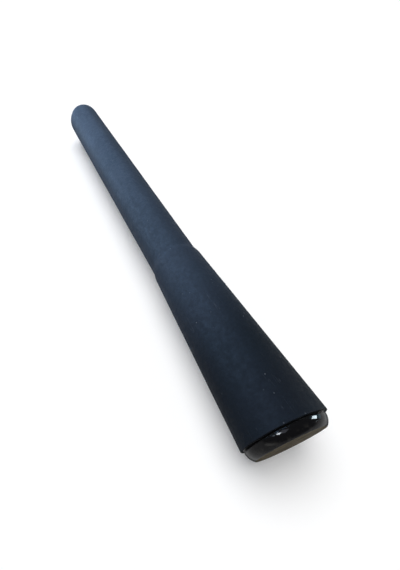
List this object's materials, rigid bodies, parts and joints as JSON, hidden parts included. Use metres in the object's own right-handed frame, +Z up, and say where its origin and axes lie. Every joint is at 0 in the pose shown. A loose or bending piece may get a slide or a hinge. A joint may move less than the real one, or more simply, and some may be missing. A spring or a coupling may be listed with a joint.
{
  "type": "telescopic fishing rod",
  "caption": "Compact telescopic fishing pole, closed: tapered rubber-sleeved grip, screw-in butt cap, nested tube sections and a swivelling line eye.",
  "frame": {"origin": "bottom centre of the closed pole's bounding box, lying on its side", "axes": "+X along the pole from the butt cap to the tip eye, +Z up, +Y to the left of someone looking from the butt to the tip"},
  "size_m": [0.3438, 0.034, 0.034],
  "materials": {
    "grip_rubber": "matt, fine grain",
    "core_foam": "matt",
    "tube_laminate": "clear gloss lacquer",
    "dark_metal": "dark satin anodised",
    "insert_plastic": "matt",
    "cap_gloss": "high gloss",
    "seal_rubber": "matt",
    "bright_metal": "polished"
  },
  "bodies": {
    "handle": {"grip_sleeve": "grip_rubber", "grip_core": "core_foam", "base_tube": "tube_laminate", "mouth_ring": "dark_metal", "butt_insert": "insert_plastic"},
    "cap_seal": {"cap_o_ring": "seal_rubber"},
    "butt_cap": {"butt_cap": "cap_gloss", "cap_cushion": "seal_rubber"},
    "section_2": {"section_2": "tube_laminate", "section_2_ring": "dark_metal"},
    "section_3": {"section_3": "tube_laminate", "section_3_ring": "dark_metal"},
    "section_4": {"section_4": "tube_laminate", "section_4_ring": "dark_metal"},
    "section_5": {"section_5": "tube_laminate", "section_5_ring": "dark_metal"},
    "section_6": {"section_6": "tube_laminate", "section_6_ring": "dark_metal"},
    "section_7": {"section_7": "tube_laminate", "section_7_ring": "dark_metal"},
    "tip": {"tip_section": "tube_laminate", "tip_ferrule": "bright_metal"},
    "tip_eye": {"tip_eye": "bright_metal"}
  },
  "joints": [
    {"name": "cap_travel", "type": "slide", "parent": "handle", "child": "cap_seal", "axis": [-1, 0, 0], "range_m": [0, 0.0061]},
    {"name": "cap_turn", "type": "hinge", "parent": "cap_seal", "child": "butt_cap", "pos_m": [-0.1671, 0, 0.01699], "axis": [-1, 0, 0], "range_deg": [0, 1080]},
    {"name": "section_2_slide", "type": "slide", "parent": "handle", "child": "section_2", "axis": [1, 0, 0], "range_m": [0, 0.2658]},
    {"name": "section_3_slide", "type": "slide", "parent": "section_2", "child": "section_3", "axis": [1, 0, 0], "range_m": [0, 0.2683]},
    {"name": "section_4_slide", "type": "slide", "parent": "section_3", "child": "section_4", "axis": [1, 0, 0], "range_m": [0, 0.2708]},
    {"name": "section_5_slide", "type": "slide", "parent": "section_4", "child": "section_5", "axis": [1, 0, 0], "range_m": [0, 0.2733]},
    {"name": "section_6_slide", "type": "slide", "parent": "section_5", "child": "section_6", "axis": [1, 0, 0], "range_m": [0, 0.2758]},
    {"name": "section_7_slide", "type": "slide", "parent": "section_6", "child": "section_7", "axis": [1, 0, 0], "range_m": [0, 0.2783]},
    {"name": "tip_slide", "type": "slide", "parent": "section_7", "child": "tip", "axis": [1, 0, 0], "range_m": [0, 0.2808]},
    {"name": "tip_eye_spin", "type": "hinge", "parent": "tip", "child": "tip_eye", "pos_m": [0.1684, 0, 0.01699], "axis": [1, 0, 0], "continuous": true}
  ],
  "couplings": [
    {"joint": "cap_travel", "follows": "cap_turn", "m_per_rad": 0.00031831}
  ]
}
